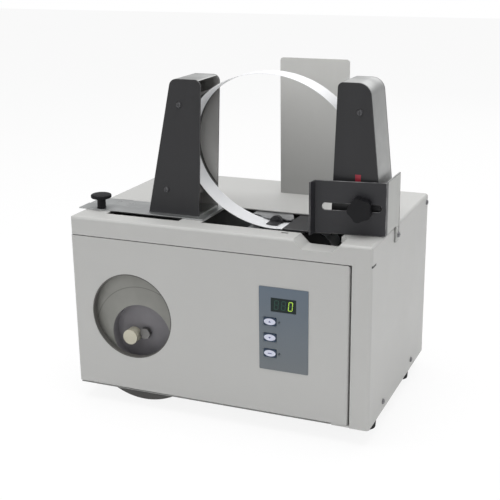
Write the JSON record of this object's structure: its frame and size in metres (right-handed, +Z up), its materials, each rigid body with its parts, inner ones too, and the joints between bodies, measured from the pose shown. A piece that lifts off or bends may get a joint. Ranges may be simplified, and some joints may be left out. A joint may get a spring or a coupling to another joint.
{
  "type": "banknote strapping machine",
  "caption": "Desktop banknote strapping machine: box case with a door, paper tape reel behind a round window, keypad, and a loop of tape held between two towers on top.",
  "frame": {"origin": "on the plane of the feet's undersides, at the middle of the machine's whole width and depth, with the strips and the rear switch that stand out of the case", "axes": "+Z up, -Y to the front where the door and panel are, +X to the operator's right"},
  "size_m": [0.3914, 0.2635, 0.4145],
  "materials": {
    "white_paint": "fine textured powder coat, light grey",
    "dark_paint": "smooth semi-gloss dark grey",
    "sheet_steel": "satin bare sheet",
    "turned_steel": "turned and ground",
    "screws": "zinc plated",
    "stopper_metal": "satin light grey coat",
    "black_plastic": "moulded black",
    "reel_plastic": "moulded mid grey",
    "hub_plastic": "moulded dark grey",
    "cream_plastic": "moulded cream",
    "panel_film": "printed overlay sheet, blue grey, plain",
    "button_plastic": "moulded navy blue with a pale oval",
    "display_window": "dark window with green digits",
    "lamp_lens": "clear lens",
    "board": "green circuit board",
    "paper_tape": "white coated paper",
    "rubber": "black rubber",
    "motor_steel": "plated motor can",
    "iron": "laminated core"
  },
  "bodies": {
    "case": {"outer_cover": "white_paint", "rear_panel": "white_paint", "base_plate": "white_paint", "rubber_feet": "rubber", "case_screws": "screws", "inner_mount_plate": "sheet_steel", "hinge_pins": "turned_steel", "reel_spindle": "turned_steel", "spindle_nut": "turned_steel", "drag_spring": "turned_steel", "roller_pins": "turned_steel", "tape_run": "paper_tape", "tape_loop": "paper_tape", "feed_motor": "motor_steel", "head_frame": "sheet_steel", "cam_motor": "motor_steel", "table_plate": "dark_paint", "hold_down_plate": "sheet_steel", "press_foot": "turned_steel", "left_tower_plates": "dark_paint", "left_tower_shell": "sheet_steel", "right_tower_plates": "dark_paint", "right_tower_shell": "sheet_steel", "tape_arc_guides": "sheet_steel", "guide_screws": "screws", "left_fixed_strip": "sheet_steel", "side_guide": "dark_paint", "power_inlet": "black_plastic", "transformer": "iron"},
    "door": {"door": "white_paint", "window_collar": "black_plastic", "panel_sheet": "panel_film", "display_module": "display_window", "indicator_lamps": "lamp_lens", "control_board": "board", "door_magnet": "black_plastic"},
    "up_button": {"up_button": "button_plastic"},
    "down_button": {"down_button": "button_plastic"},
    "feed_button": {"feed_button": "button_plastic"},
    "reel": {"reel_rear_flange": "reel_plastic", "tape_roll": "paper_tape", "reel_front_flange": "reel_plastic", "reel_hub": "hub_plastic"},
    "reel_lock": {"reel_lock_knob": "cream_plastic"},
    "left_roller": {"left_guide_roller": "turned_steel"},
    "right_roller": {"right_guide_roller": "turned_steel"},
    "feed_wheel": {"feed_wheel": "rubber"},
    "pinch_roller": {"pinch_roller": "rubber"},
    "cam_shaft": {"cam_shaft": "turned_steel"},
    "left_gripper": {"left_gripper": "turned_steel"},
    "seal_press": {"seal_press": "turned_steel", "heater_cartridge": "turned_steel"},
    "right_gripper": {"right_gripper": "turned_steel", "cutter_blade": "turned_steel"},
    "slide_strip": {"left_slide_strip": "sheet_steel"},
    "left_knob": {"left_knob": "black_plastic"},
    "side_slider": {"side_guide_slider": "sheet_steel"},
    "side_knob": {"side_guide_knob": "black_plastic"},
    "rear_stopper": {"rear_stopper": "stopper_metal"},
    "switch_rocker": {"rocker_switch": "black_plastic"}
  },
  "joints": [
    {"name": "door_swing", "type": "hinge", "parent": "case", "child": "door", "pos_m": [0.15675, -0.12535, 0.0205], "axis": [0, 0, 1], "range_deg": [0, 100]},
    {"name": "up_button_press", "type": "slide", "parent": "door", "child": "up_button", "axis": [0, 1, 0], "range_m": [0, 0.0008], "stiffness_N_per_m": 400, "springref_m": -0.0008},
    {"name": "down_button_press", "type": "slide", "parent": "door", "child": "down_button", "axis": [0, 1, 0], "range_m": [0, 0.0008], "stiffness_N_per_m": 400, "springref_m": -0.0008},
    {"name": "feed_button_press", "type": "slide", "parent": "door", "child": "feed_button", "axis": [0, 1, 0], "range_m": [0, 0.0008], "stiffness_N_per_m": 400, "springref_m": -0.0008},
    {"name": "reel_spin", "type": "hinge", "parent": "case", "child": "reel", "pos_m": [-0.10145, -0.10435, 0.092], "axis": [0, 1, 0], "continuous": true},
    {"name": "reel_lock_turn", "type": "hinge", "parent": "reel", "child": "reel_lock", "pos_m": [-0.11795, -0.12135, 0.088], "axis": [0, 1, 0], "range_deg": [0, 90]},
    {"name": "left_roller_spin", "type": "hinge", "parent": "case", "child": "left_roller", "pos_m": [-0.03445, -0.10435, 0.163], "axis": [0, 1, 0], "continuous": true},
    {"name": "right_roller_spin", "type": "hinge", "parent": "case", "child": "right_roller", "pos_m": [0.11915, -0.05735, 0.163], "axis": [0, 1, 0], "continuous": true},
    {"name": "feed_wheel_spin", "type": "hinge", "parent": "case", "child": "feed_wheel", "pos_m": [0.10575, -0.05735, 0.21065], "axis": [0, 1, 0], "continuous": true},
    {"name": "pinch_roller_spin", "type": "hinge", "parent": "case", "child": "pinch_roller", "pos_m": [0.13715, -0.05735, 0.21065], "axis": [0, 1, 0], "continuous": true},
    {"name": "cam_turn", "type": "hinge", "parent": "case", "child": "cam_shaft", "pos_m": [0.04575, -0.05735, 0.1755], "axis": [1, 0, 0], "range_deg": [0, 90]},
    {"name": "left_gripper_lift", "type": "slide", "parent": "case", "child": "left_gripper", "axis": [0, 0, 1], "range_m": [0, 0.003]},
    {"name": "seal_press_lift", "type": "slide", "parent": "case", "child": "seal_press", "axis": [0, 0, 1], "range_m": [0, 0.003]},
    {"name": "right_gripper_lift", "type": "slide", "parent": "case", "child": "right_gripper", "axis": [0, 0, 1], "range_m": [0, 0.003]},
    {"name": "slide_strip_set", "type": "slide", "parent": "case", "child": "slide_strip", "axis": [1, 0, 0], "range_m": [-0.01, 0.012]},
    {"name": "left_knob_turn", "type": "hinge", "parent": "slide_strip", "child": "left_knob", "pos_m": [-0.16785, -0.08835, 0.2505], "axis": [0, 0, 1], "range_deg": [0, 180]},
    {"name": "side_slider_set", "type": "slide", "parent": "case", "child": "side_slider", "axis": [-0.9907, -0.1357, 0], "range_m": [-0.004, 0.033]},
    {"name": "side_knob_turn", "type": "hinge", "parent": "side_slider", "child": "side_knob", "pos_m": [0.16601, -0.09165, 0.2716], "axis": [-0.1357, 0.9907, 0], "range_deg": [0, 180]},
    {"name": "rear_stopper_set", "type": "slide", "parent": "case", "child": "rear_stopper", "axis": [0, 1, 0], "range_m": [-0.012, 0.012]},
    {"name": "power_switch_rock", "type": "hinge", "parent": "case", "child": "switch_rocker", "pos_m": [-0.07425, 0.12765, 0.0655], "axis": [1, 0, 0], "range_deg": [-16, 0]}
  ],
  "couplings": [
    {"joint": "pinch_roller_spin", "follows": "feed_wheel_spin", "ratio": -2.3778},
    {"joint": "cam_turn", "follows": "seal_press_lift", "rad_per_m": 523.55},
    {"joint": "left_gripper_lift", "follows": "seal_press_lift", "ratio": 0.9999},
    {"joint": "right_gripper_lift", "follows": "seal_press_lift", "ratio": 0.9999}
  ]
}
